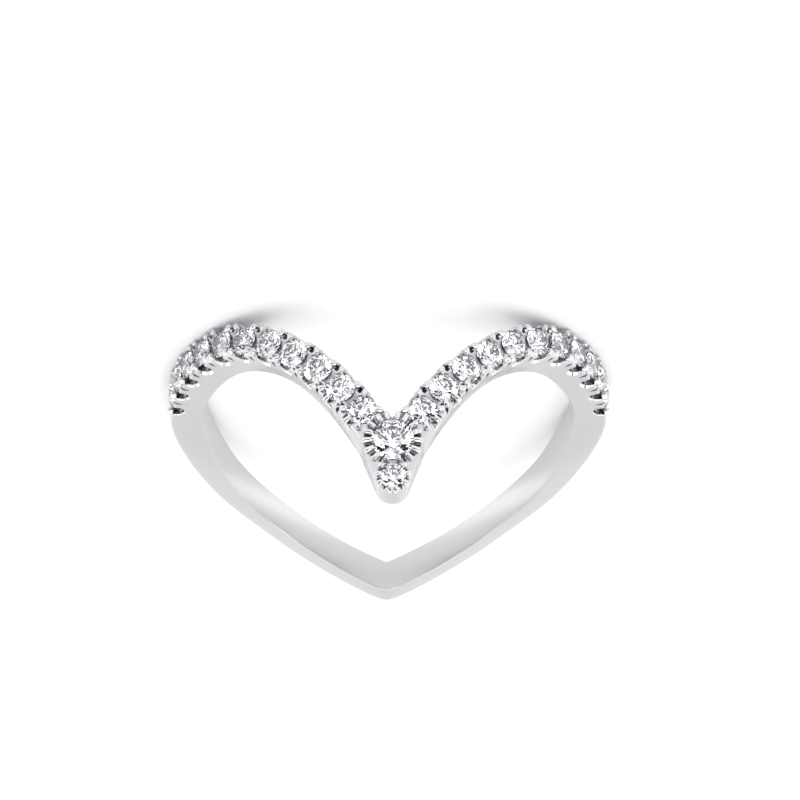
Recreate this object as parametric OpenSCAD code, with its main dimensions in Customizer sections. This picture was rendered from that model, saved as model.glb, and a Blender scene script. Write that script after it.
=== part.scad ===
// Chevron ring: a plain white metal band that dips into a V at the back of the finger and rises into a
// V of set stones at the front. It lies on its side, finger axis along +Z, both points up.
// Angles run round the finger from the stone point at 0 to the back point at 180.

/* [Finger hole] */
// Inside diameter, a US size 7
finger_d = 17.3; // [16.5:0.1:19]

/* [Band] */
// Thickness of the metal, from the finger hole outwards
band_t = 1.55; // [1.45:0.05:1.8]
// Width under the stones
row_w = 1.56; // [1.5:0.02:1.7]
// Width at the sides of the finger
side_w = 1.88; // [1.7:0.02:2.1]
// Width at the back of the finger
back_w = 1.46; // [1.3:0.02:1.7]
// Spread of the row's upper face towards the finger, in mm for each mm of thickness
row_spread = 0.15; // [0:0.01:0.25]
// Lean of the plain half's faces, in mm for each mm of thickness
plain_lean = 0.33; // [0:0.01:0.4]
// Rounding of the outer edges of the plain half
plain_round = 0.35; // [0.15:0.05:0.45]
// Rounding of the outer edges beside the stones
row_round = 0.08; // [0.05:0.01:0.15]

/* [Chevron] */
// Fall of the row's centre line from the point to the shoulder
row_fall = 7.44; // [6.5:0.1:8]
// Angle from the point round to the shoulder
shoulder_angle = 75; // [70:1:80]
// Rise of the centre line from the side to the back point
back_rise = 5.03; // [4:0.1:6]
// Part of that rise which is bowed
back_bow = 1.13; // [0.8:0.05:1.4]
// Softness of the bend at the back point, as a share of the finger axis's distance
back_soft = 0.02; // [0.005:0.005:0.05]
// Depth that the level stretch under each side takes off the lowest curve
rest_flat = 0.25; // [0.2:0.01:0.3]

/* [Point] */
// Radius of the nose round the tip stone
nose_r = 0.76; // [0.74:0.01:0.85]
// Radius of the collar round the big stone
collar_r = 1.35; // [1.3:0.01:1.45]
// Height of the collar's centre below the tip stone's centre
collar_drop = 1.65; // [1.55:0.01:1.75]
// Extra width of the arms where they leave the collar
root_extra = 0.12; // [0:0.01:0.2]

/* [Stones] */
// Diameter of the big stone
big_d = 1.95; // [1.8:0.01:2]
// Diameter of the stone in the tip
tip_d = 1.2; // [1.1:0.01:1.25]
// Diameter of the stones along the arms
arm_d = 1.35; // [1.25:0.01:1.4]
// Number of stones along each arm
arm_count = 11; // [8:1:11]
// Distance between the stones along an arm
pitch = 1.545; // [1.52:0.005:1.56]
// Angle of the first stone of an arm
first_angle = 7.8; // [7.6:0.1:8.4]
// Height of the centre line's peak above the big stone's centre
big_below_peak = 0.62; // [0.55:0.01:0.7]
// Distance between the tip stone and the big stone
tip_pitch = 1.82; // [1.8:0.01:1.9]
// Depth of the girdles below the outside of the band
girdle_set = 0.13; // [0.1:0.01:0.16]
// Further depth of the big stone
big_set = 0.07; // [0.05:0.01:0.1]
// Gap between a stone and its seat
seat_gap = 0.03; // [0.02:0.01:0.04]

/* [Claws] */
// Radius of a claw's bead
claw_r = 0.12; // [0.1:0.01:0.13]
// Distance of a bead's centre outside its stone's edge
claw_off = 0.1; // [0.09:0.005:0.12]
// Height of a bead's centre above the girdle
claw_h = 0.13; // [0.12:0.005:0.15]
// Width of the scallop under each arm stone
scallop_w = 0.6; // [0.5:0.02:0.66]
// Depth of the scallops
scallop_depth = 0.62; // [0.5:0.02:0.7]
// Width of the slit between two claws
slit_w = 0.18; // [0.12:0.01:0.2]
// Depth of the slits
slit_depth = 0.5; // [0.3:0.02:0.6]
// Width of the saddle between two stones
saddle_w = 0.84; // [0.7:0.02:0.9]
// Depth of the saddles
saddle_depth = 0.18; // [0.15:0.01:0.22]

/* [Hidden] */

hole_r = finger_d / 2;
out_r = hole_r + band_t;
// Angles of the band's sections, closer at the two points, and as a whole turn
point_angles = [for (a = [0 : 0.75 : 9]) a];
arm_sections = [for (a = [12 : 4 : 172]) a];
back_angles = [174.5, 176.5, 178, 179.2];
half_turn = concat(point_angles, arm_sections, back_angles);
whole_turn = concat(half_turn, [180], [for (i = [len(half_turn) - 1 : -1 : 1]) 360 - half_turn[i]]);
// How far cutting and rough shapes reach past the metal
spare = 0.4;
// How far the rounding of the outer edges runs past the outside, so that no two faces coincide
skin = 0.02;
// Height of the two cylinders that trim the band
tall = 4 * (row_fall + back_rise);
// Angles over which the band widens beside the last stones and narrows again at the back
widen = [50, 75];
narrow_up = [124, 147];
narrow_down = [112, 126];
// Angles over which the arms leave the collar's extra width and the row its spread
clear_root = [8, 30];
close_spread = [60, 95];
// Angles over which the outer edges turn from crisp to round
soften = [88, 112];
// Shares of a stone's diameter
table_share = 0.56;
crown_share = 0.155;
girdle_share = 0.03;
pavilion_share = 0.43;
// How far the tips of the star facets stand out from halfway between table and girdle
star_out = 1.03;
// Share of the radius that the pavilion's lower facets leave to its eight main ones
main_share = 0.24;
// Bearings of the claws round the two stones of the point, from the right and towards the tip
big_claws = [8, 32, 148, 172, 218, 322];
tip_claws = [32, 90, 148, 222, 318];
arm_claws = [47, 133, 227, 313];

// From 0 to 1 as x goes from the first to the second value of span, level at both ends
function ease(x, span) =
    let (t = min(max((x - span[0]) / (span[1] - span[0]), 0), 1))
    t * t * (3 - 2 * t);

// Height of the centre line above the shoulder, at an angle from 0 to 180
side_rise = back_bow * (90 - shoulder_angle) * PI / 360;
function soft_sine(a) = norm([sin(a), back_soft]) - (norm([1, back_soft]) - 1) * sin(a);
function back_line(a) =
    side_rise + back_rise - (back_rise - back_bow) * soft_sine(a) - back_bow * (1 + cos(a));
function line_h(a) =
    a < shoulder_angle ? row_fall * pow(1 - a / shoulder_angle, 3)
    : a < 90 ? side_rise * pow((a - shoulder_angle) / (90 - shoulder_angle), 2)
    : back_line(a);

// Slope of the centre line where it runs round the finger at radius r
function slope(a, r) =
    let (lo = max(a - 0.5, 0), hi = min(a + 0.5, 180))
    (line_h(hi) - line_h(lo)) / ((hi - lo) * PI / 180 * r);

// A width measured square to the centre line, turned into a height
function as_height(w, a, r) = w * sqrt(1 + pow(slope(a, r), 2));

function half_up(a) =
    row_w / 2
    + root_extra * (1 - ease(a, clear_root))
    + (side_w - row_w) / 2 * ease(a, widen)
    + (back_w - side_w) / 2 * ease(a, narrow_up);
function half_down(a) =
    row_w / 2
    + (side_w - row_w) / 2 * ease(a, widen)
    + (back_w - side_w) / 2 * ease(a, narrow_down);
function spread(a) = row_spread * (1 - ease(a, close_spread));
function lean(a) = a < 90 ? 0 : plain_lean * abs(sin(2 * a));
function edge_round(a) = row_round + (plain_round - row_round) * ease(a, soften);

// Centres of the two stones of the point and of the collar, as heights of the centre line
big_h = row_fall - big_below_peak;
tip_h = big_h + tip_pitch;
collar_h = tip_h - collar_drop;

// Angle past which the arms are clear of the collar
collar_angle = 20;

// Outline of the point: the nose's round, the straight flanks that touch both rounds, and the collar's
flank_sine = (collar_r - nose_r) / collar_drop;
flank_cosine = sqrt(1 - flank_sine * flank_sine);
function round_h(x, r) = sqrt(max(r * r - x * x, 0));
function nose_top(x) =
    x < nose_r * flank_cosine ? tip_h + round_h(x, nose_r)
    : x < collar_r * flank_cosine
        ? tip_h + (nose_r - x * flank_cosine) / flank_sine
    : x < collar_r ? collar_h + round_h(x, collar_r)
    : 0;
function collar_bottom(x) = x < collar_r ? collar_h - round_h(x, collar_r) : row_fall;

// Heights of the band's upper and lower faces at radius r
function arm_top(a, r) =
    line_h(a) + as_height(half_up(a) + spread(a) * (out_r - r), a, r) - lean(a) * (r - hole_r);
function arm_bottom(a, r) =
    line_h(a) - as_height(half_down(a), a, r) - lean(a) * (r - hole_r);
function upper(a, r) =
    let (x = r * sin(a))
    a > collar_angle ? arm_top(a, r)
    : x < nose_r ? nose_top(x)
    : max(arm_top(a, r), nose_top(x));
level = min([for (a = [shoulder_angle - 20 : 1 : 110]) arm_bottom(a, hole_r)]) + rest_flat;
function lower(a, r) =
    a < collar_angle ? min(arm_bottom(a, r), collar_bottom(r * sin(a)))
    : max(arm_bottom(a, r), level);

// One section of the band as radius and height, with its two outer edges rounded
function section(a) =
    let (e = edge_round(a))
    let (e_h = as_height(e, a, out_r))
    let (up = upper(a, out_r - e))
    let (low = lower(a, out_r - e))
    [
        [hole_r - spare, upper(a, hole_r - spare)],
        [out_r - e, up],
        [out_r - e * (1 - sin(45)), up - e_h * (1 - cos(45))],
        [out_r + skin, up - e_h],
        [out_r + spare, up - e_h],
        [out_r + spare, low + e_h],
        [out_r + skin, low + e_h],
        [out_r - e * (1 - sin(45)), low + e_h * (1 - cos(45))],
        [out_r - e, low],
        [hole_r - spare, lower(a, hole_r - spare)]
    ];

// The chevron's two faces as one closed ring of sections, wider than the metal inside and out
module chevron_slab() {
    count = len(whole_turn);
    per = len(section(0));
    points = [
        for (t = whole_turn)
            for (p = section(t <= 180 ? t : 360 - t))
                [p[0] * sin(t), -p[0] * cos(t), p[1]]
    ];
    faces = [
        for (i = [0 : count - 1])
            for (j = [0 : per - 1])
                let (n = (i + 1) % count, k = (j + 1) % per)
                let (a = i * per + j, b = i * per + k, c = n * per + k, d = n * per + j)
                for (f = i < count / 2 ? [[c, b, a], [d, c, a]] : [[d, b, a], [d, c, b]])
                    f
    ];
    polyhedron(points = points, faces = faces, convexity = 10);
}

// Radius from the finger axis to a stone's girdle
arm_girdle_r = out_r - girdle_set;
big_girdle_r = arm_girdle_r - big_set;

// Children stand on the band at an angle and height: their +Z points away from the finger, +Y up
module on_band(a, r, h, turn = 0) {
    rotate([0, 0, a]) translate([0, -r, h]) rotate([90, 0, 0]) rotate([0, 0, turn]) children();
}

// Places along one arm, each a fixed distance from the one before
function on_line(a) = [arm_girdle_r * sin(a), -arm_girdle_r * cos(a), line_h(a)];
function next_angle(a, guess, tries) =
    tries == 0 ? guess
    : next_angle(a, a + (guess - a) * pitch / norm(on_line(guess) - on_line(a)), tries - 1);
function arm_angle(k) =
    k == 1 ? first_angle
    : let (a = arm_angle(k - 1)) next_angle(a, a + 6, 8);
arm_angles = [for (k = [1:arm_count]) arm_angle(k)];

module on_arm(side, a) {
    on_band(side * a, arm_girdle_r, line_h(a), side * atan(slope(a, arm_girdle_r))) children();
}

// Room for a stone: a straight wall above the girdle and a cone below it
module seat(d) {
    wide = d / 2 + seat_gap;
    girdle_low = -d * girdle_share / 2 - seat_gap / 2;
    rotate_extrude($fn = 48) polygon([
        [0, girdle_low - d * pavilion_share - seat_gap],
        [wide, girdle_low],
        [wide, spare],
        [0, spare]
    ]);
}

// U cut from one face of the band to the other under an arm stone
module scallop() {
    r = scallop_w / 2;
    reach = side_w;
    centre = girdle_set - scallop_depth + r;
    translate([0, reach, centre]) rotate([90, 0, 0]) cylinder(r = r, h = 2 * reach, $fn = 32);
    translate([-r, -reach, centre]) cube([2 * r, 2 * reach, spare - centre]);
}

// V cut into each face of the band between two arm stones, which parts their claws
module slits() {
    flare = slit_w / 2 * (1 + (spare - girdle_set) / slit_depth);
    for (face = [0, 180])
        rotate([90, 0, face]) translate([0, 0, saddle_w / 2]) linear_extrude(side_w) polygon([
            [0, girdle_set - slit_depth],
            [flare, spare],
            [-flare, spare]
        ]);
}

// Round hollow between two arm stones, whose edges nearly touch there
module saddle() {
    r = (saddle_w * saddle_w / 4 + saddle_depth * saddle_depth) / (2 * saddle_depth);
    translate([0, 0, girdle_set - saddle_depth + r]) rotate([0, 90, 0])
        cylinder(r = r, h = 3 * (pitch - arm_d), center = true, $fn = 48);
}

module claws(d, bearings) {
    for (b = bearings)
        rotate([0, 0, b]) translate([d / 2 + claw_off, 0, claw_h]) sphere(r = claw_r, $fn = 24);
}

module band() {
    color("gainsboro") settle() {
        difference() {
            intersection() {
                chevron_slab();
                cylinder(r = out_r, h = tall, center = true, $fn = 180);
            }
            cylinder(r = hole_r, h = tall + spare, center = true, $fn = 180);
            on_band(0, arm_girdle_r, tip_h) seat(tip_d);
            on_band(0, big_girdle_r, big_h) seat(big_d);
            for (side = [-1, 1]) {
                for (a = arm_angles) on_arm(side, a) {
                    seat(arm_d);
                    scallop();
                }
                for (k = [1 : arm_count - 1])
                    on_arm(side, (arm_angles[k - 1] + arm_angles[k]) / 2) {
                        slits();
                        saddle();
                    }
            }
        }
        on_band(0, arm_girdle_r, tip_h) claws(tip_d, tip_claws);
        on_band(0, big_girdle_r, big_h) claws(big_d, big_claws);
        for (side = [-1, 1])
            for (a = arm_angles) on_arm(side, a) claws(arm_d, arm_claws);
    }
}

// Round brilliant of 8 sides: table, stars, kites, girdle and pavilion, its girdle at z = 0
module brilliant(d) {
    r = d / 2;
    table_r = r * table_share;
    girdle = d * girdle_share / 2;
    crown = d * crown_share;
    pavilion = d * pavilion_share;
    star_r = (table_r + r) / 2 * star_out;
    lower_r = r * main_share;
    star_z = girdle + crown * (r - star_r * cos(22.5)) / (r - table_r);
    lower_z = -girdle - pavilion * (r - lower_r * cos(22.5)) / r;
    function ring(count, radius, z, from) =
        [for (i = [0 : count - 1]) let (a = from + i * 360 / count) [radius * cos(a), radius * sin(a), z]];
    points = concat(
        ring(8, table_r, girdle + crown, 0),
        ring(8, star_r, star_z, 22.5),
        ring(16, r, girdle, 0),
        ring(16, r, -girdle, 0),
        ring(8, lower_r, lower_z, 22.5),
        [[0, 0, -girdle - pavilion]]
    );
    // Where each ring of points starts in the list
    star = 8;
    top = 16;
    low = 32;
    deep = 48;
    culet = 56;
    faces = concat(
        [[7, 6, 5, 4, 3, 2, 1, 0]],
        [for (i = [0:7]) [i, (i + 1) % 8, star + i]],
        [for (i = [0:7]) [i, star + i, top + 2 * i, star + (i + 7) % 8]],
        [for (i = [0:7]) [star + i, top + 2 * i + 1, top + 2 * i]],
        [for (i = [0:7]) [star + i, top + (2 * i + 2) % 16, top + 2 * i + 1]],
        [for (i = [0:15]) let (n = (i + 1) % 16) [top + i, top + n, low + n, low + i]],
        [for (i = [0:7]) [low + 2 * i, low + 2 * i + 1, deep + i]],
        [for (i = [0:7]) [low + 2 * i + 1, low + (2 * i + 2) % 16, deep + i]],
        [for (i = [0:7]) [low + 2 * i, deep + i, culet, deep + (i + 7) % 8]]
    );
    polyhedron(points = points, faces = faces, convexity = 4);
}

module stone_big() {
    color("aliceblue") settle() on_band(0, big_girdle_r, big_h) brilliant(big_d);
}

module stone_tip() {
    color("aliceblue") settle() on_band(0, arm_girdle_r, tip_h) brilliant(tip_d);
}

module arm_stone(side, k) {
    color("aliceblue") settle() on_arm(side, arm_angles[k - 1]) brilliant(arm_d);
}

// Brings the level stretches down to z = 0 and the middle of the whole ring to x = y = 0
front_reach = max(
    arm_girdle_r + claw_h + claw_r,
    big_girdle_r + big_d * (crown_share + girdle_share / 2)
);
module settle() {
    translate([0, (front_reach - out_r) / 2, -level]) children();
}

band();
stone_big();
stone_tip();
for (k = [1:arm_count]) {
    arm_stone(-1, k);
    arm_stone(1, k);
}
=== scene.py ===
# %% [markdown]
# # A chevron ring in white gold and diamonds
# This lesson dresses a finger ring whose band dips into a V at the back of the finger and rises into a V of
# small diamonds at the front. A jeweller casts the band in one piece, files it, sinks a bed and drills a
# seat for each stone, cuts the scallops under them and pushes the claws over their edges. The lesson
# follows that order. Only the finishes are mixed before the cuts, because each cutter hands its own finish
# to the metal that it bares. The main sizes repeat those of the engineering model, which is loaded first and
# never moved.

# %% Load the engineering model
import math

import bmesh
import bpy
from mathutils import Matrix, Vector


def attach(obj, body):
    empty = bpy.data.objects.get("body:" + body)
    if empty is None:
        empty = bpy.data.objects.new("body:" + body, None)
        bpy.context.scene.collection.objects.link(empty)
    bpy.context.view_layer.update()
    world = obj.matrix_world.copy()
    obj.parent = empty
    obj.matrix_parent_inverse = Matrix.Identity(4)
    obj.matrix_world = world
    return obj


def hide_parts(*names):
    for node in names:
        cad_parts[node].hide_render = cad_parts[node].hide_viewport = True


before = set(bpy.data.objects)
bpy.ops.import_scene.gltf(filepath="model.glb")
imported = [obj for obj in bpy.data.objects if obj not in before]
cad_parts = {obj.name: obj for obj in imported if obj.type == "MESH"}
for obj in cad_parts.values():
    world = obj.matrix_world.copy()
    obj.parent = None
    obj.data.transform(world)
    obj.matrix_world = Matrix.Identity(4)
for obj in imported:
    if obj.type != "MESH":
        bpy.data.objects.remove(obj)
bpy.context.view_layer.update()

# %% [markdown]
# ## Working in millimetres
# Jewellery is tiny for Blender, whose merge and boolean tools have thresholds meant for metres. So the band
# is modelled with one unit as one millimetre, round a finger axis at the origin, and once it is finished it
# is shrunk a thousand times and put in its place in one go.

# %% Units, finger hole and thickness
MM = 0.001

HOLE_R = 17.3 / 2
BAND_T = 1.55
OUT_R = HOLE_R + BAND_T
print("finger hole", 2 * HOLE_R, "mm, band", BAND_T, "mm thick")

# %% [markdown]
# ## The line that the band follows
# Seen flat, a chevron band is a wave round the finger: angle 0 is the point with the stones, 90 the side of
# the finger and 180 the plain point at the back. It could be drawn by hand as a curve, but a formula keeps
# the two sides alike and gives the exact height anywhere. A cubic gives the arms their slow turn into the
# shoulder, and a sine with a little bow gives the plain half its nearly straight sides.


# %% Centre line of the band
# Angles are in degrees, and heights in mm over the shoulder.
ROW_FALL = 7.44
SHOULDER = 75
BACK_RISE = 5.03
BACK_BOW = 1.13
BACK_SOFT = 0.02
SIDE_RISE = BACK_BOW * math.radians(90 - SHOULDER) / 2
NEARBY = 0.5


def sine(a):
    return math.sin(math.radians(a))


def cosine(a):
    return math.cos(math.radians(a))


def line_h(a):
    """Height of the centre line at an angle from 0 to 180."""
    if a < SHOULDER:
        return ROW_FALL * (1 - a / SHOULDER) ** 3
    if a < 90:
        return SIDE_RISE * ((a - SHOULDER) / (90 - SHOULDER)) ** 2
    soft = math.hypot(sine(a), BACK_SOFT) - (math.hypot(1, BACK_SOFT) - 1) * sine(a)
    return SIDE_RISE + BACK_RISE - (BACK_RISE - BACK_BOW) * soft - BACK_BOW * (1 + cosine(a))


def slope(a, r):
    """Slope of the line where it runs round the finger at radius r, from the heights just beside it."""
    low, high = max(a - NEARBY, 0), min(a + NEARBY, 180)
    return (line_h(high) - line_h(low)) / (math.radians(high - low) * r)


print("the line rises to", ROW_FALL, "mm at the front and to", round(line_h(180), 2), "mm at the back")

# %% [markdown]
# ## Its width and its level stretches
# The band is widest at the sides of the finger and narrows to the stones at the front and to the plain
# point at the back. Its width is measured square to the line, as with a gauge, so it has to be turned into
# a height where the line slopes. The ring lies on its side, and a jeweller files the lowest curves level
# for that.


# %% Faces of the arms
# Widths in mm, spans of angles in degrees, slants in mm for each mm of thickness.
ROW_W = 1.56
SIDE_W = 1.88
BACK_W = 1.46
ROOT_EXTRA = 0.12
ROW_SPREAD = 0.15
PLAIN_LEAN = 0.33
CLEAR_ROOT = (8, 30)
WIDEN = (50, 75)
CLOSE_SPREAD = (60, 95)
NARROW_DOWN = (112, 126)
NARROW_UP = (124, 147)


def ease(x, span):
    """From 0 to 1 as x goes through the span, level at both ends."""
    low, high = span
    t = min(max((x - low) / (high - low), 0), 1)
    return t * t * (3 - 2 * t)


def as_height(width, a, r):
    """A width measured square to the line, turned into a height."""
    return width * math.hypot(1, slope(a, r))


def half_up(a):
    """Width above the line, a little more where the arms leave the point."""
    root = ROOT_EXTRA * (1 - ease(a, CLEAR_ROOT))
    side = (SIDE_W - ROW_W) / 2 * ease(a, WIDEN)
    return ROW_W / 2 + root + side + (BACK_W - SIDE_W) / 2 * ease(a, NARROW_UP)


def half_down(a):
    side = (SIDE_W - ROW_W) / 2 * ease(a, WIDEN)
    return ROW_W / 2 + side + (BACK_W - SIDE_W) / 2 * ease(a, NARROW_DOWN)


def lean(a):
    return 0 if a < 90 else PLAIN_LEAN * abs(sine(2 * a))


def arm_top(a, r):
    spread = ROW_SPREAD * (1 - ease(a, CLOSE_SPREAD))
    return line_h(a) + as_height(half_up(a) + spread * (OUT_R - r), a, r) - lean(a) * (r - HOLE_R)


def arm_bottom(a, r):
    return line_h(a) - as_height(half_down(a), a, r) - lean(a) * (r - HOLE_R)


print("widths in mm:", {a: round(half_up(a) + half_down(a), 2) for a in (45, 90, 180)})

# %% Level stretches
# How much the file takes off the lowest curve, and the angles among which that curve is
REST_FLAT = 0.25
LOW_CURVE = range(55, 111)
LEVEL = min(arm_bottom(a, HOLE_R) for a in LOW_CURVE) + REST_FLAT
print("the sides lie", round(-LEVEL, 3), "mm under the shoulder's centre line")

# %% [markdown]
# ## The point
# At the point the two arms meet in a collar round the big stone, which narrows to a round nose round the
# small one. In plan that is two circles and the straight flanks that touch them both.


# %% Outline of the point, and the band's two faces
# In mm, apart from COLLAR_ANGLE, past which the arms are clear of the collar.
NOSE_R = 0.76
COLLAR_R = 1.35
COLLAR_DROP = 1.65
COLLAR_ANGLE = 20
BIG_BELOW_PEAK = 0.62
TIP_PITCH = 1.82

BIG_H = ROW_FALL - BIG_BELOW_PEAK
TIP_H = BIG_H + TIP_PITCH
COLLAR_H = TIP_H - COLLAR_DROP
FLANK_SINE = (COLLAR_R - NOSE_R) / COLLAR_DROP
FLANK_COSINE = math.sqrt(1 - FLANK_SINE**2)


def nose_top(x):
    """Height of the nose, the flank or the collar at a distance x beside the point."""
    if x < NOSE_R * FLANK_COSINE:
        return TIP_H + math.sqrt(NOSE_R**2 - x * x)
    if x < COLLAR_R * FLANK_COSINE:
        return TIP_H + (NOSE_R - x * FLANK_COSINE) / FLANK_SINE
    if x < COLLAR_R:
        return COLLAR_H + math.sqrt(COLLAR_R**2 - x * x)
    return 0


def upper(a, r):
    x = r * sine(a)
    if a > COLLAR_ANGLE:
        return arm_top(a, r)
    return nose_top(x) if x < NOSE_R else max(arm_top(a, r), nose_top(x))


def lower(a, r):
    x = r * sine(a)
    if a >= COLLAR_ANGLE:
        return max(arm_bottom(a, r), LEVEL)
    if x < COLLAR_R:
        return min(arm_bottom(a, r), COLLAR_H - math.sqrt(COLLAR_R**2 - x * x))
    return arm_bottom(a, r)


print("the nose's top is at", round(upper(0, HOLE_R) - LEVEL, 2), "mm")

# %% [markdown]
# ## Small tools
# Every piece starts with nothing selected, is modelled in edit mode, and picks the points for each operator
# by their place, as one would with a box select. Blender's buttons do the same, but a place written down
# can be found again when a size changes.


# %% Helpers for modelling with operators
NEAR = 0.001


def nothing_selected():
    if bpy.context.mode != "OBJECT":
        bpy.ops.object.mode_set(mode="OBJECT")
    bpy.ops.object.select_all(action="DESELECT")


def only(*objects):
    """Selects just these objects, the first of them active."""
    nothing_selected()
    for made in objects:
        made.select_set(True)
    bpy.context.view_layer.objects.active = objects[0]


def edit():
    bpy.ops.object.mode_set(mode="EDIT")


def done():
    bpy.ops.object.mode_set(mode="OBJECT")


def all_points():
    bpy.ops.mesh.select_all(action="SELECT")


def pick(test):
    """In edit mode, selects the points for which test says yes, and what lies between them."""
    mesh = bmesh.from_edit_mesh(bpy.context.object.data)
    bpy.ops.mesh.select_all(action="DESELECT")
    for v in mesh.verts:
        if test(v.co):
            v.select = True
    mesh.select_flush(True)
    bmesh.update_edit_mesh(bpy.context.object.data)


def outwards():
    all_points()
    bpy.ops.mesh.normals_make_consistent(inside=False)


def baked(made):
    """Puts an object's place, turn and size into its mesh."""
    only(made)
    bpy.ops.object.transform_apply(location=True, rotation=True, scale=True)


# %% [markdown]
# ## The band
# The real band is cast with a rectangular section. Here a plane of the section's size is stood up in the
# band's wall and spun round the finger, in small steps at the two points and longer ones along the sides.
# Each section's four corners are then slid up to where the chevron wants them, the left and the right side
# together. A tube bent by a curve would need fewer steps, but it wouldn't keep the finger hole truly round.

# %% Spin the section round the finger
# Arcs in degrees and the steps of each: across the point, along a side, across the back, along the other.
POINT_ARC = 13
BACK_ARC = 6
SIDE_ARC = 180 - POINT_ARC - BACK_ARC
SPINS = ((2 * POINT_ARC, 52), (SIDE_ARC, 70), (2 * BACK_ARC, 12), (SIDE_ARC, 70))
HALF_PLANE = 0.5

nothing_selected()
bpy.ops.mesh.primitive_plane_add(size=2 * HALF_PLANE)
band = bpy.context.object
band.name = "band_metal"
edit()
all_points()
bpy.ops.transform.resize(value=(BAND_T, 1, 1))
done()
start = math.radians(POINT_ARC)
middle = HOLE_R + BAND_T / 2
band.location = (middle * math.sin(start), -middle * math.cos(start), 0)
band.rotation_euler = (math.pi / 2, 0, start - math.pi / 2)
baked(band)
edit()
all_points()
bpy.ops.mesh.delete(type="ONLY_FACE")
all_points()
# Spin goes clockwise seen from above, so it starts right of the point.
for turn, steps in SPINS:
    bpy.ops.mesh.spin(steps=steps, angle=math.radians(turn), center=(0, 0, 0), axis=(0, 0, 1))
all_points()
bpy.ops.mesh.remove_doubles(threshold=NEAR)
outwards()
done()
print("sections round the finger:", len(band.data.vertices) / 4)


# %% Slide the corners to the chevron
# The setter files the outside down by ROW_SINK beside the stones, which ends in the span FILED.
ROW_SINK = 0.1
FILED = (86, 91)
SAME_ANGLE = 0.05
SAME_H = 1e-4


def sunk(a):
    """Radius of the band's outside."""
    return OUT_R - ROW_SINK * (1 - ease(a, FILED))


def angle_of(place):
    return abs(math.degrees(math.atan2(place.x, -place.y)))


def outside(place):
    return math.hypot(place.x, place.y) > HOLE_R + BAND_T / 2


def beside(place, a, b, outer):
    """Whether a corner lies between two angles, on the outer or on the inner wall."""
    return a - SAME_ANGLE < angle_of(place) < b + SAME_ANGLE and outside(place) == outer


stations = sorted({round(angle_of(v.co), 1) for v in band.data.vertices})
edit()
for a in stations:
    for r, outer in ((HOLE_R, False), (OUT_R, True)):
        for face, from_h in ((upper, HALF_PLANE), (lower, -HALF_PLANE)):
            pick(lambda p: beside(p, a, a, outer) and abs(p.z - from_h) < SAME_H)
            bpy.ops.transform.translate(value=(0, 0, face(a, r) - from_h))
    pick(lambda p: beside(p, a, a, True))
    inwards = sunk(a) / OUT_R
    bpy.ops.transform.resize(value=(inwards, inwards, 1), center_override=(0, 0, 0))
done()
print("heights in mm:", [round(f(v.co.z for v in band.data.vertices) - LEVEL, 2) for f in (min, max)])

# %% [markdown]
# ## Its edges
# A file and a wheel round the plain half's outer edges well over, while the edges beside the stones stay
# nearly crisp and the finger hole's are just broken. One Bevel modifier does them all, because each edge
# carries its own bevel weight: 1 is the full width, and the weight eases from one to the other past the
# shoulders.


# %% Weigh the running edges and bevel them
PLAIN_ROUND = 0.35
ROW_ROUND = 0.08
INNER_ROUND = 0.06
NOSE_ROUND = 0.28
SOFTEN = (88, 112)
NOSE_END = (3.5, 6.5)


def edge_round(a, high_side):
    """Width of the rounding; the nose's own edge is rounder than the row's."""
    width = ROW_ROUND + (PLAIN_ROUND - ROW_ROUND) * ease(a, SOFTEN)
    return max(width, NOSE_ROUND * (1 - ease(a, NOSE_END))) if high_side else width


def is_upper(place):
    return place.z > line_h(angle_of(place))


def apply_modifier(made, kind, **settings):
    only(made)
    modifier = made.modifiers.new(kind.lower(), kind)
    for name, value in settings.items():
        setattr(modifier, name, value)
    bpy.ops.object.modifier_apply(modifier=modifier.name)


edit()
for outer in (False, True):
    for high_side in (False, True):
        for a, b in zip(stations, stations[1:]):
            pick(lambda p: beside(p, a, b, outer) and is_upper(p) == high_side)
            width = edge_round((a + b) / 2, high_side) if outer else INNER_ROUND
            bpy.ops.transform.edge_bevelweight(value=width / PLAIN_ROUND)
done()
apply_modifier(band, "BEVEL", width=PLAIN_ROUND, segments=5, limit_method="WEIGHT", use_clamp_overlap=False)
print("band:", len(band.data.polygons), "faces after the bevel")

# %% [markdown]
# ## Finishes
# A material here is a small graph of nodes. One function adds a node with its settings and its links, and
# another turns the hex colour that one reads off a swatch into the linear light that Blender computes with.


# %% Helpers for materials
def linear(hex_colour):
    """The linear RGBA of an sRGB hex colour."""
    channels = [int(hex_colour[i : i + 2], 16) / 255 for i in (1, 3, 5)]
    return (*[c / 12.92 if c <= 0.04045 else ((c + 0.055) / 1.055) ** 2.4 for c in channels], 1)


def node(tree, kind, inputs=None, **settings):
    """Adds a node; an input is a value, or the output of another node to link."""
    made = tree.nodes.new(kind)
    for name, value in settings.items():
        setattr(made, name, value)
    for socket, value in (inputs or {}).items():
        if isinstance(value, bpy.types.NodeSocket):
            tree.links.new(value, made.inputs[socket])
        else:
            made.inputs[socket].default_value = value
    return made


def new_material(name):
    made = bpy.data.materials.new(name)
    made.use_nodes = True
    made.node_tree.nodes.clear()
    return made, made.node_tree


def per_mm(size):
    """The scale that makes a noise repeat about once in a size given in mm."""
    return 1 / (size * MM)


# %% [markdown]
# ## White gold, rhodium plated and polished
# White gold leaves the polishing wheel bright, if a little darker than silver, and a thin plating of
# rhodium takes away its last warmth, so its colour here is a neutral light grey. Under a soft light it
# doesn't look like a mirror: the wheel leaves a haze of fine scratches, and hand finishing leaves the
# surface very slightly uneven. So the roughness is low but not zero, a fine noise breaks it up, and a wide
# shallow one makes the reflections swim a little.

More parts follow.
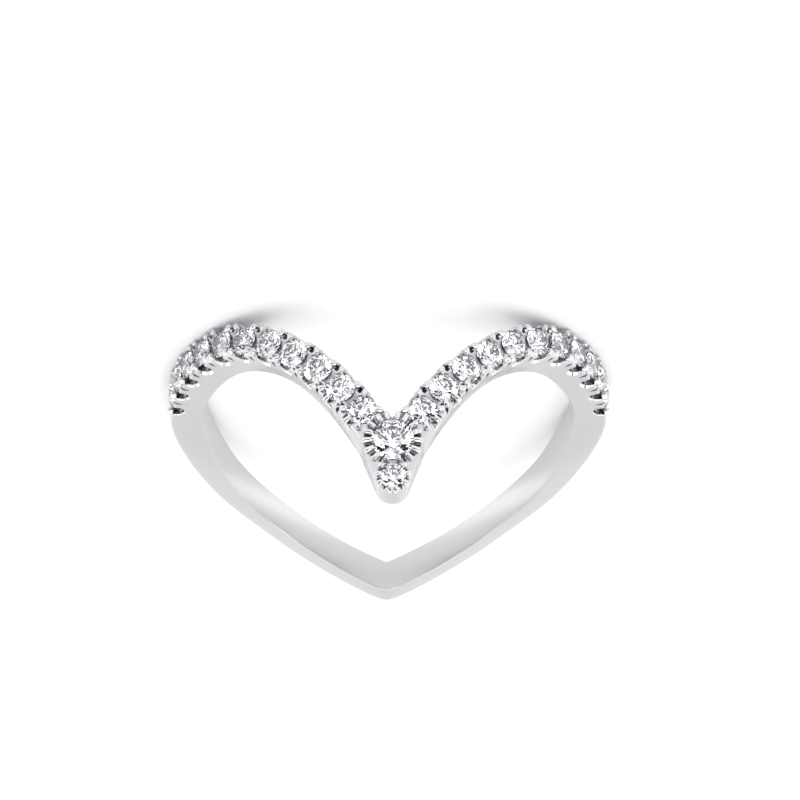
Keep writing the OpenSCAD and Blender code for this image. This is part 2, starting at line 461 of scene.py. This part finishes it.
# %% Polished white gold
# The scratches are micrometres wide, too fine to show, so the haze is drawn as coarse as WHEEL_HAZE.
WHEEL_HAZE = 0.12
UNEVEN = 2.6

polished, tree = new_material("white_gold_polished")
place = node(tree, "ShaderNodeTexCoord").outputs["Object"]
haze = node(tree, "ShaderNodeTexNoise", {"Vector": place, "Scale": per_mm(WHEEL_HAZE), "Detail": 3.0})
wide = node(tree, "ShaderNodeTexNoise", {"Vector": place, "Scale": per_mm(UNEVEN), "Detail": 1.0})
rough = node(
    tree, "ShaderNodeMapRange",
    {"Value": haze.outputs["Fac"], "From Min": 0.3, "From Max": 0.7, "To Min": 0.17, "To Max": 0.25},
)
swim = node(
    tree, "ShaderNodeBump", {"Height": wide.outputs["Fac"], "Strength": 0.05, "Distance": 0.06 * MM}
)
grain = node(
    tree, "ShaderNodeBump",
    {
        "Height": haze.outputs["Fac"], "Normal": swim.outputs["Normal"],
        "Strength": 0.1, "Distance": 0.002 * MM,
    },
)
skin = node(
    tree, "ShaderNodeBsdfPrincipled",
    {
        "Base Color": linear("#c5c5c6"), "Metallic": 1.0, "Roughness": rough.outputs["Result"],
        "Normal": grain.outputs["Normal"],
    },
)
node(tree, "ShaderNodeOutputMaterial", {"Surface": skin.outputs["BSDF"]})
print(polished.name, "has", len(tree.nodes), "nodes")

# %% [markdown]
# ## White gold as the cutter leaves it, with painted shade
# The wheel can't get into the seats, the saddles and the slits between the stones. There the metal keeps
# the fine ridges of the burr, so it is duller. Its colour is also painted a darker grey, which stands for
# the shade that falls into these recesses. A noise of the ridges' size mixes two greys and raises small
# bumps.

# %% Cut white gold, with painted shade
# A real burr's ridges are finer than this, and are drawn as coarse as BURR_RIDGE so that they show.
BURR_RIDGE = 0.05

cut_gold_painted_shade, tree = new_material("white_gold_cut_painted_shade")
place = node(tree, "ShaderNodeTexCoord").outputs["Object"]
ridges = node(tree, "ShaderNodeTexNoise", {"Vector": place, "Scale": per_mm(BURR_RIDGE), "Detail": 4.0})
# Their mix is darker than the polished metal: painted shade for the recesses, mixed at random by the ridges.
shade = node(
    tree, "ShaderNodeMix",
    {"Factor": ridges.outputs["Fac"], "A": linear("#86878a"), "B": linear("#c8c8ca")},
    data_type="RGBA",
)
bumps = node(
    tree, "ShaderNodeBump", {"Height": ridges.outputs["Fac"], "Strength": 0.3, "Distance": 0.01 * MM}
)
skin = node(
    tree, "ShaderNodeBsdfPrincipled",
    {
        "Base Color": shade.outputs["Result"], "Metallic": 1.0, "Roughness": 0.34,
        "Normal": bumps.outputs["Normal"],
    },
)
node(tree, "ShaderNodeOutputMaterial", {"Surface": skin.outputs["BSDF"]})
print(cut_gold_painted_shade.name, "has", len(tree.nodes), "nodes")

# %% [markdown]
# ## White gold as the beading tool leaves it, with painted light
# The end of each claw is rolled over with a small steel cup, which leaves it smoother than any wheel. Its
# surface is nearly a mirror, only slightly dimpled, so a claw shows one white light and one dark edge. Its
# colour is a lighter grey than the polished metal's, which is painted light that makes the claws whiter. The
# scallops are drawn through with polishing thread and share this finish, so its lighter grey also paints
# light into their shaded insides.

# %% Burnished white gold, with painted light
# Width of the dimples that the cup leaves
DIMPLE = 0.09

burnished_painted_light, tree = new_material("white_gold_burnished_painted_light")
place = node(tree, "ShaderNodeTexCoord").outputs["Object"]
dimples = node(tree, "ShaderNodeTexNoise", {"Vector": place, "Scale": per_mm(DIMPLE), "Detail": 1.0})
bumps = node(
    tree, "ShaderNodeBump", {"Height": dimples.outputs["Fac"], "Strength": 0.2, "Distance": 0.01 * MM}
)
# The grey, lighter than the polished metal's, is painted light.
skin = node(
    tree, "ShaderNodeBsdfPrincipled",
    {
        "Base Color": linear("#d8d8d9"), "Metallic": 1.0, "Roughness": 0.1,
        "Normal": bumps.outputs["Normal"],
    },
)
node(tree, "ShaderNodeOutputMaterial", {"Surface": skin.outputs["BSDF"]})
print(burnished_painted_light.name, "has", len(tree.nodes), "nodes")

# %% [markdown]
# ## Places along the arms
# Every stone has its own small frame on the band, whose +Z points away from the finger. The stones of an
# arm lie a fixed distance apart along the line, and each angle is found from the one before by a few
# corrections.


# %% Frames on the band
# Diameters, distances and depths of the stones, in mm, and the angle of an arm's first stone.
BIG_D = 1.95
TIP_D = 1.2
ARM_D = 1.35
ARM_COUNT = 11
PITCH = 1.545
FIRST_ANGLE = 7.8
FIRST_GUESS = 6
CORRECTIONS = 8
GIRDLE_SET = 0.13
BIG_SET = 0.07
ARM_GIRDLE_R = OUT_R - GIRDLE_SET
BIG_GIRDLE_R = ARM_GIRDLE_R - BIG_SET


def on_band(a, r, h, turn=0):
    """A frame at an angle, radius and height: +X along the band, +Y up, +Z away from the finger."""
    return (
        Matrix.Rotation(math.radians(a), 4, "Z")
        @ Matrix.Translation((0, -r, h))
        @ Matrix.Rotation(math.radians(90), 4, "X")
        @ Matrix.Rotation(math.radians(turn), 4, "Z")
    )


def on_arm(side, a):
    turn = side * math.degrees(math.atan(slope(a, ARM_GIRDLE_R)))
    return on_band(side * a, ARM_GIRDLE_R, line_h(a), turn)


def on_line(a):
    return Vector((ARM_GIRDLE_R * sine(a), -ARM_GIRDLE_R * cosine(a), line_h(a)))


def next_angle(a):
    guess = a + FIRST_GUESS
    for _ in range(CORRECTIONS):
        guess = a + (guess - a) * PITCH / (on_line(guess) - on_line(a)).length
    return guess


arm_angles = [FIRST_ANGLE]
while len(arm_angles) < ARM_COUNT:
    arm_angles.append(next_angle(arm_angles[-1]))
between = [(a + b) / 2 for a, b in zip(arm_angles, arm_angles[1:])]
arm_places = [on_arm(side, a) for side in (-1, 1) for a in arm_angles]
slit_places = [on_arm(side, a) for side in (-1, 1) for a in between]
tip_place = on_band(0, ARM_GIRDLE_R, TIP_H)
big_place = on_band(0, BIG_GIRDLE_R, BIG_H)
print("stones of an arm at", [round(a, 1) for a in arm_angles], "degrees")

# %% [markdown]
# ## Beds and seats
# A setter first sinks a flat bed round each stone, so that the claws can stand up from it, and then drills
# the seat with a burr whose profile matches the stone. The cutters here are the same two tools: a disc, and
# a cylinder whose lower end is extruded to a point. Each is made once for a size of stone and copied to its
# places, and an exact boolean takes the copies out of the band. Exact booleans leave slivers where faces
# nearly meet, and these are merged after every cut.


# %% Cutters for the beds and the seats
# SPARE is how far every cutter reaches up from the girdle, and the shares are of a stone's diameter.
SPARE = 0.4
GIRDLE_SHARE = 0.03
PAVILION_SHARE = 0.43
SEAT_GAP = 0.03
BED_H = -0.02
BED_SIDES = 64
BED_TAPER = 0.98
SEAT_SIDES = 48
POINTED = 0.02


# By default the bared metal takes the cut finish, whose darker grey is painted shade.
def as_cutter(made, finish=cut_gold_painted_shade):
    """Makes an object ready to cut; the metal that it bares takes its finish."""
    baked(made)
    made.data.materials.append(finish)


def round_cutter(sides, radius, low):
    """A cylinder from the height low up to SPARE, which is clear of the metal."""
    nothing_selected()
    bpy.ops.mesh.primitive_cylinder_add(
        vertices=sides, radius=radius, depth=SPARE - low, location=(0, 0, (SPARE + low) / 2)
    )
    as_cutter(bpy.context.object)
    return bpy.context.object


def bed_cutter(r):
    """A flat cutter that sinks a bed round a stone, for its claws to stand up from."""
    cutter = round_cutter(BED_SIDES, r, BED_H)
    edit()
    pick(lambda p: p.z < 0)
    bpy.ops.transform.resize(value=(BED_TAPER, BED_TAPER, 1))
    outwards()
    done()
    return cutter


def seat_burr(d):
    """A burr with the stone's own profile, wider than the stone by the gap that it leaves."""
    low = -d * GIRDLE_SHARE / 2 - SEAT_GAP / 2
    burr = round_cutter(SEAT_SIDES, d / 2 + SEAT_GAP, low)
    edit()
    pick(lambda p: p.z < low + NEAR)
    down = (0, 0, -d * PAVILION_SHARE - SEAT_GAP)
    bpy.ops.mesh.extrude_region_move(TRANSFORM_OT_translate={"value": down})
    bpy.ops.transform.resize(value=(POINTED, POINTED, 1))
    outwards()
    done()
    return burr


# %% Copies and cuts
SLIVER = 0.0005


def copied(master, places):
    """Copies of a piece, each with a mesh of its own, one at each place; the master goes."""
    made = []
    for place in places:
        only(master)
        bpy.ops.object.duplicate(linked=False)
        copy = bpy.context.object
        copy.matrix_world = place
        baked(copy)
        made.append(copy)
    bpy.data.objects.remove(master)
    return made


def joined(parts):
    only(*parts)
    if len(parts) > 1:
        bpy.ops.object.join()
    return bpy.context.object


def cut(cutters):
    """Takes all the cutters out of the band, then merges the slivers, which would spoil the next cut."""
    before = len(band.data.polygons)
    tool = joined(cutters)
    apply_modifier(
        band, "BOOLEAN", operation="DIFFERENCE", solver="EXACT", material_mode="TRANSFER", object=tool
    )
    bpy.data.objects.remove(tool)
    edit()
    all_points()
    bpy.ops.mesh.remove_doubles(threshold=SLIVER)
    bpy.ops.mesh.dissolve_degenerate(threshold=SLIVER)
    done()
    print("faces of the band:", before, "then", len(band.data.polygons))


# %% Sink the beds and drill the seats
# Neighbouring beds nearly touch, so every other one is cut first and the rest after.
ARM_BED_R = 0.745
TIP_BED_R = 0.66
BIG_BED_R = 1.27

band.data.materials.append(polished)
for group in (arm_places[0::2], arm_places[1::2]):
    cut(copied(bed_cutter(ARM_BED_R), group))
cut(copied(bed_cutter(TIP_BED_R), [tip_place]))
cut(copied(bed_cutter(BIG_BED_R), [big_place]))
cut(copied(seat_burr(ARM_D), arm_places) + copied(seat_burr(TIP_D), [tip_place]))
cut(copied(seat_burr(BIG_D), [big_place]))

# %% [markdown]
# ## Scallops, saddles and slits
# Under each stone of the arms a U goes right through from one face of the band to the other, which lets
# light in from the sides and gives the row its scalloped edge. It is polished with thread, and its lips are
# broken with a bevel. Both take the claws' finish, whose lighter grey is painted light. Between two stones
# the metal is hollowed to a saddle, so that their edges nearly touch, and a narrow V from either face parts
# their claws. The saddles and the Vs take the cut finish, whose darker grey is painted shade. All of these
# are simple bars of one section, so each is a primitive with a few of its points moved.

# %% Cut the scallops
SCALLOP_W = 0.6
SCALLOP_DEPTH = 0.62
ALONG_Y = (math.pi / 2, 0, 0)

scallop_r = SCALLOP_W / 2
scallop_centre = GIRDLE_SET - SCALLOP_DEPTH + scallop_r


def open_upwards(made):
    """Turns a round cutter into a U by lifting its upper half out of the band."""
    # The scallops and their lips take the burnished finish, whose lighter grey is painted light.
    as_cutter(made, burnished_painted_light)
    edit()
    pick(lambda p: p.z > scallop_centre + NEAR)
    bpy.ops.transform.translate(value=(0, 0, SPARE - scallop_centre))
    outwards()
    done()
    return made


nothing_selected()
bpy.ops.mesh.primitive_cylinder_add(
    vertices=32, radius=scallop_r, depth=2 * SIDE_W, location=(0, 0, scallop_centre), rotation=ALONG_Y
)
cut(copied(open_upwards(bpy.context.object), arm_places))

# %% Break the lips of the scallops
# The cone starts UNDERCUT inside the scallop, so that their faces don't coincide.
LIP = 0.07
UNDERCUT = 0.005


def lip_places(side, a):
    """Where the scallop of a stone leaves the band's upper and lower faces."""
    up = half_up(a) + ROW_SPREAD * SCALLOP_DEPTH / 2
    down = min(half_down(a), (line_h(a) - LEVEL) / math.hypot(1, slope(a, ARM_GIRDLE_R)))
    centre = on_arm(side, a)
    half_turn = Matrix.Rotation(math.pi, 4, "Z")
    return [centre @ Matrix.Translation((0, up, 0)), centre @ half_turn @ Matrix.Translation((0, down, 0))]


nothing_selected()
bpy.ops.mesh.primitive_cone_add(
    vertices=32, radius1=scallop_r + 2 * LIP, radius2=scallop_r - UNDERCUT, depth=2 * LIP + UNDERCUT,
    location=(0, -UNDERCUT / 2, scallop_centre), rotation=ALONG_Y,
)
lip_cutter = open_upwards(bpy.context.object)
cut(copied(lip_cutter, [place for side in (-1, 1) for a in arm_angles for place in lip_places(side, a)]))

# %% Cut the saddles
SADDLE_W = 0.84
SADDLE_DEPTH = 0.22
ALONG_X = (0, math.pi / 2, 0)

saddle_r = (SADDLE_W**2 / 4 + SADDLE_DEPTH**2) / (2 * SADDLE_DEPTH)
nothing_selected()
bpy.ops.mesh.primitive_cylinder_add(
    vertices=48, radius=saddle_r, depth=3 * (PITCH - ARM_D),
    location=(0, 0, GIRDLE_SET - SADDLE_DEPTH + saddle_r), rotation=ALONG_X,
)
saddle = bpy.context.object
as_cutter(saddle)
cut(copied(saddle, slit_places))

# %% Cut the slits
SLIT_W = 0.24
SLIT_DEPTH = 0.5


def wedge(width, depth, start, end):
    """A V cutter that runs along Y from start to end; its width is measured at the band's surface."""
    low = GIRDLE_SET - depth
    flare = width * (1 + (SPARE - GIRDLE_SET) / depth)
    nothing_selected()
    bpy.ops.mesh.primitive_cube_add(
        size=1, location=(0, (start + end) / 2, (SPARE + low) / 2), scale=(flare, end - start, SPARE - low)
    )
    made = bpy.context.object
    as_cutter(made)
    edit()
    pick(lambda p: p.z < low + NEAR)
    bpy.ops.transform.resize(value=(POINTED, 1, 1))
    outwards()
    done()
    return made


slit = wedge(SLIT_W, SLIT_DEPTH, SADDLE_W / 2, SADDLE_W / 2 + SIDE_W)
cut(copied(slit, [place @ Matrix.Rotation(turn, 4, "Z") for place in slit_places for turn in (0, math.pi)]))

# %% [markdown]
# ## Gaps in the rim of the point
# Round the big stone and the small one the rim that the bed leaves is parted into claws with a fine graver.
# The cuts aren't evenly spaced, because the setter works round the arms, so each is given by its bearing
# round the stone, counted from the right and towards the tip. The slits' wedge is used again, shorter and
# narrower.

# %% Part the claws of the point
GAP_W = 0.13
GAP_DEPTH = 0.42
BIG_GAP_RUN = 0.32
TIP_GAP_RUN = 0.13
BIG_GAPS = (-8, 15, 39, 62, 118, 141, 165, 188, 227, 270, 313)
TIP_GAPS = (14, 56, 124, 166, 204, 336)


def cut_gaps(d, run, place, bearings):
    """Cuts a gap at each bearing round a stone, from its edge outwards."""
    gap = wedge(GAP_W, GAP_DEPTH, d / 2, d / 2 + run)
    cut(copied(gap, [place @ Matrix.Rotation(math.radians(b - 90), 4, "Z") for b in bearings]))


cut_gaps(BIG_D, BIG_GAP_RUN, big_place, BIG_GAPS)
cut_gaps(TIP_D, TIP_GAP_RUN, tip_place, TIP_GAPS)

# %% [markdown]
# ## Claws
# With a graver the setter raises a claw from the metal beside each stone and rolls its end into a bead that
# holds the stone's edge. The model starts from a small sphere: its lower half is drawn down into the band,
# its outer side out to the band's edge, and its top leans in over the stone. A claw that reaches out
# further is a master of its own, and each master is copied to all its places.

# %% Shape a claw
CLAW_R = 0.12
CLAW_ROOT = 0.25
CLAW_LEAN = 0.05
CLAW_WIDER = 1.15
OFF_MIDDLE = 0.01


def claw(drawn_out):
    """A claw round its bead's centre, with +X away from the stone."""
    nothing_selected()
    bpy.ops.mesh.primitive_uv_sphere_add(segments=16, ring_count=12, radius=CLAW_R)
    made = bpy.context.object
    # The claws take the burnished finish, whose lighter grey is painted light.
    made.data.materials.append(burnished_painted_light)
    edit()
    pick(lambda p: p.z < -OFF_MIDDLE)
    bpy.ops.transform.translate(value=(0, 0, -CLAW_ROOT))
    pick(lambda p: p.x > OFF_MIDDLE)
    bpy.ops.transform.translate(value=(drawn_out, 0, 0))
    pick(lambda p: p.z > CLAW_R / 2)
    bpy.ops.transform.translate(value=(-CLAW_LEAN, 0, 0))
    all_points()
    bpy.ops.transform.resize(value=(1, CLAW_WIDER, 1))
    outwards()
    done()
    return made


# %% Raise the claws
# Bearings round a stone, in degrees. Only the first two stones of each arm have an outer claw.
CLAW_OFF = 0.1
CLAW_H = 0.13
BIG_CLAWS = (4, 27, 50, 130, 153, 176, 197, 216, 240, 258, 282, 300, 324, 343)
NEAR_TIP_CLAWS = (75, 105)
TIP_CLAWS = (-5, 34, 80, 100, 146, 185, 222, 318)
ARM_CLAWS = (47, 133, 227, 313)
OUTER_CLAWS = (90,)
ARM_DRAWN_OUT = 0.12
BIG_DRAWN_OUT = 0.2
TIP_DRAWN_OUT = 0.02


def round_stone(place, d, bearings):
    """Places of the claws' beads round a stone."""
    reach = Matrix.Translation((d / 2 + CLAW_OFF, 0, CLAW_H))
    return [place @ Matrix.Rotation(math.radians(b), 4, "Z") @ reach for b in bearings]


first_places = arm_places[:2] + arm_places[ARM_COUNT : ARM_COUNT + 2]
arm_spots = [spot for place in arm_places for spot in round_stone(place, ARM_D, ARM_CLAWS)]
arm_spots += [spot for place in first_places for spot in round_stone(place, ARM_D, OUTER_CLAWS)]
# A claw right over a level stretch isn't drawn out, because it would reach below it.
free = [spot for spot in arm_spots if spot.translation.z - CLAW_R - ARM_DRAWN_OUT > LEVEL]
at_floor = [spot for spot in arm_spots if spot not in free]
claws = copied(claw(ARM_DRAWN_OUT), free) + copied(claw(0), at_floor)
claws += copied(claw(BIG_DRAWN_OUT), round_stone(big_place, BIG_D, BIG_CLAWS))
claws += copied(claw(0), round_stone(big_place, BIG_D, NEAR_TIP_CLAWS))
claws += copied(claw(TIP_DRAWN_OUT), round_stone(tip_place, TIP_D, TIP_CLAWS))
print("claws:", len(claws))
band = joined([band, *claws])

# %% [markdown]
# ## Bring the band to its place
# The ring lies on its side on the two level stretches under its sides. The whole band is now shrunk from
# millimetres to metres and moved there. Its smooth surfaces are shaded smooth and its cut edges stay crisp.

# %% Settle the band
# The middle of the whole ring is at x = y = 0, between its back and what reaches out furthest at the front.
SHARP = math.radians(32)
CROWN_SHARE = 0.155

front_reach = max(ARM_GIRDLE_R + CLAW_H + CLAW_R, BIG_GIRDLE_R + BIG_D * (CROWN_SHARE + GIRDLE_SHARE / 2))
band.scale = (MM, MM, MM)
band.location = (0, (front_reach - OUT_R) / 2 * MM, -LEVEL * MM)
baked(band)
bpy.ops.object.shade_smooth_by_angle(angle=SHARP)
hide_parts("band")
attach(band, "root")
print("band:", len(band.data.polygons), "faces, materials", [m.name for m in band.data.materials])

# %% [markdown]
# ## Diamonds
# The stones are already right in the engineering model: round brilliants with their table, crown facets,
# girdle and pavilion. They only need to be diamond. It is clear, its surface is smooth to a fraction of a
# micrometre, and it bends light far more than glass does, which is what breaks its face up into bright and
# dark facets.

# %% Diamond
diamond, tree = new_material("diamond_polished")
skin = node(
    tree, "ShaderNodeBsdfPrincipled",
    {"Base Color": linear("#fbfcff"), "Roughness": 0.0, "IOR": 2.417, "Transmission Weight": 1.0},
)
node(tree, "ShaderNodeOutputMaterial", {"Surface": skin.outputs["BSDF"]})
stones = [made for name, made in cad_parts.items() if name.startswith("stone")]
for stone in stones:
    for spot in stone.material_slots:
        spot.material = diamond
print("stones in diamond:", len(stones))

# %% [markdown]
# ## Floor
# The photograph shows the ring on plain white. A wide sheet of white paper does the same and catches the
# ring's soft shadow, and it also lights the underside of the metal.

# %% White paper
FLOOR_SIZE = 4.0

nothing_selected()
bpy.ops.mesh.primitive_plane_add(size=FLOOR_SIZE)
floor = bpy.context.object
floor.name = "floor"
paper, tree = new_material("white_paper_matte")
skin = node(tree, "ShaderNodeBsdfPrincipled", {"Base Color": linear("#f9f9f9"), "Roughness": 0.9})
node(tree, "ShaderNodeOutputMaterial", {"Surface": skin.outputs["BSDF"]})
floor.data.materials.append(paper)
print("floor:", FLOOR_SIZE, "m wide")

# %% [markdown]
# ## Sky
# Polished metal shows what stands round it, so a sky that is pale all round gives it its soft greys. It is
# a little brighter at the left and the right, where a studio has its lamps. Diamonds need dark things to
# sparkle against. A studio has them too, such as the camera, so the sky is dark round the camera's
# direction, and on the camera's side it is a patchwork of bright and dark fields.

# %% Pale sky, dark round the camera
CAMERA_WAY = (0.015, -0.898, 0.441)

sky = bpy.data.worlds.new("studio")
bpy.context.scene.world = sky
sky.use_nodes = True
tree = sky.node_tree
tree.nodes.clear()
direction = node(tree, "ShaderNodeTexCoord").outputs["Generated"]
axes = node(tree, "ShaderNodeSeparateXYZ", {"Vector": direction}).outputs
sideways = node(tree, "ShaderNodeMath", {0: axes["X"]}, operation="ABSOLUTE").outputs["Value"]
glow = node(
    tree, "ShaderNodeMapRange",
    {"Value": sideways, "From Min": 0.25, "From Max": 0.8, "To Min": 1.15, "To Max": 1.5},
).outputs["Result"]
towards = node(
    tree, "ShaderNodeVectorMath", {0: direction, 1: CAMERA_WAY}, operation="DOT_PRODUCT"
).outputs["Value"]
camera_dark = node(
    tree, "ShaderNodeMapRange",
    {"Value": towards, "From Min": 0.945, "From Max": 0.97, "To Min": 1.0, "To Max": 0.03},
).outputs["Result"]
print("sky nodes so far:", len(tree.nodes))

# %% Fields on the camera's side
# The node near gives 1 on the camera's side and 0 behind the ring.
near = node(
    tree, "ShaderNodeMapRange",
    {"Value": axes["Y"], "From Min": -0.15, "From Max": 0.0, "To Min": 1.0, "To Max": 0.0},
).outputs["Result"]
fields = node(tree, "ShaderNodeTexVoronoi", {"Vector": direction, "Scale": 6.0})
channels = node(tree, "ShaderNodeSeparateColor", {"Color": fields.outputs["Color"]}).outputs
dark_or_bright = node(
    tree, "ShaderNodeMapRange",
    {"Value": channels["Red"], "From Min": 0.47, "From Max": 0.55, "To Min": 0.02, "To Max": 1.6},
).outputs["Result"]
patchwork = node(
    tree, "ShaderNodeMix", {"Factor": near, "A": 1.0, "B": dark_or_bright}, data_type="FLOAT"
).outputs["Result"]
both = node(tree, "ShaderNodeMath", {0: patchwork, 1: camera_dark}, operation="MULTIPLY").outputs["Value"]
strength = node(tree, "ShaderNodeMath", {0: both, 1: glow}, operation="MULTIPLY").outputs["Value"]
print("sky nodes so far:", len(tree.nodes))

# %% [markdown]
# ## A little colour for the stones
# A diamond spreads light into colours, which Blender's glass doesn't do. A few of the fields are pale blue
# instead, and the stones show them as the cool glints that the photograph has.

# %% Pale blue fields
cool = node(
    tree, "ShaderNodeMapRange",
    {"Value": channels["Green"], "From Min": 0.9, "From Max": 0.92, "To Min": 0.0, "To Max": 1.0},
).outputs["Result"]
cool_near = node(tree, "ShaderNodeMath", {0: cool, 1: near}, operation="MULTIPLY").outputs["Value"]
tint = node(
    tree, "ShaderNodeMix", {"Factor": cool_near, "A": (1, 1, 1, 1), "B": linear("#cfd2f8")},
    data_type="RGBA",
).outputs["Result"]
backdrop = node(tree, "ShaderNodeBackground", {"Color": tint, "Strength": strength})
node(tree, "ShaderNodeOutputWorld", {"Surface": backdrop.outputs["Background"]})
print("sky nodes:", len(tree.nodes))

# %% [markdown]
# ## Lamps
# A large soft lamp, high up behind the camera, draws the shadow. The ring's wall keeps the sky off the
# floor inside the finger hole, so a small spot straight above lights it up again.

# %% Two lamps
KEY_PLACE = (-0.05, -0.3, 0.4)
POOL_PLACE = (0, 0.0052, 0.12)

nothing_selected()
bpy.ops.object.light_add(type="AREA", location=KEY_PLACE)
key = bpy.context.object
key.data.size = 0.4
key.data.energy = 0.9
key.rotation_euler = key.location.to_track_quat("Z", "Y").to_euler()

bpy.ops.object.light_add(type="SPOT", location=POOL_PLACE)
pool = bpy.context.object
pool.data.energy = 0.35
pool.data.spot_size = math.radians(3.2)
pool.data.spot_blend = 1.0
pool.data.shadow_soft_size = 0.001
print("lamps in W:", [round(lamp.data.energy, 2) for lamp in (key, pool)])

# %% [markdown]
# ## Camera
# The photograph shows the ring as if it stood on its plain point. It can't stand like that by itself, so
# here it lies on its side, and the camera looks at it from the same side: 26 degrees above the floor, and
# rolled by half a turn so that the picture comes out the same way up. The long lens keeps the perspective
# as flat as it is in the photograph.

# %% Place the camera
# In mm and degrees, matched to the photograph
CAMERA_PLACE = (3.7681, -228.2727, 112.0573)
CAMERA_TURN = (-64, -0.356, -179.094)

bpy.ops.object.camera_add(
    location=[v * MM for v in CAMERA_PLACE], rotation=[math.radians(v) for v in CAMERA_TURN]
)
camera = bpy.context.object
camera.data.lens = 244.1
camera.data.sensor_width = 36
camera.data.clip_start = 0.01
bpy.context.scene.camera = camera
bpy.context.scene.view_settings.view_transform = "Standard"
print("camera lens in mm:", round(camera.data.lens, 1))
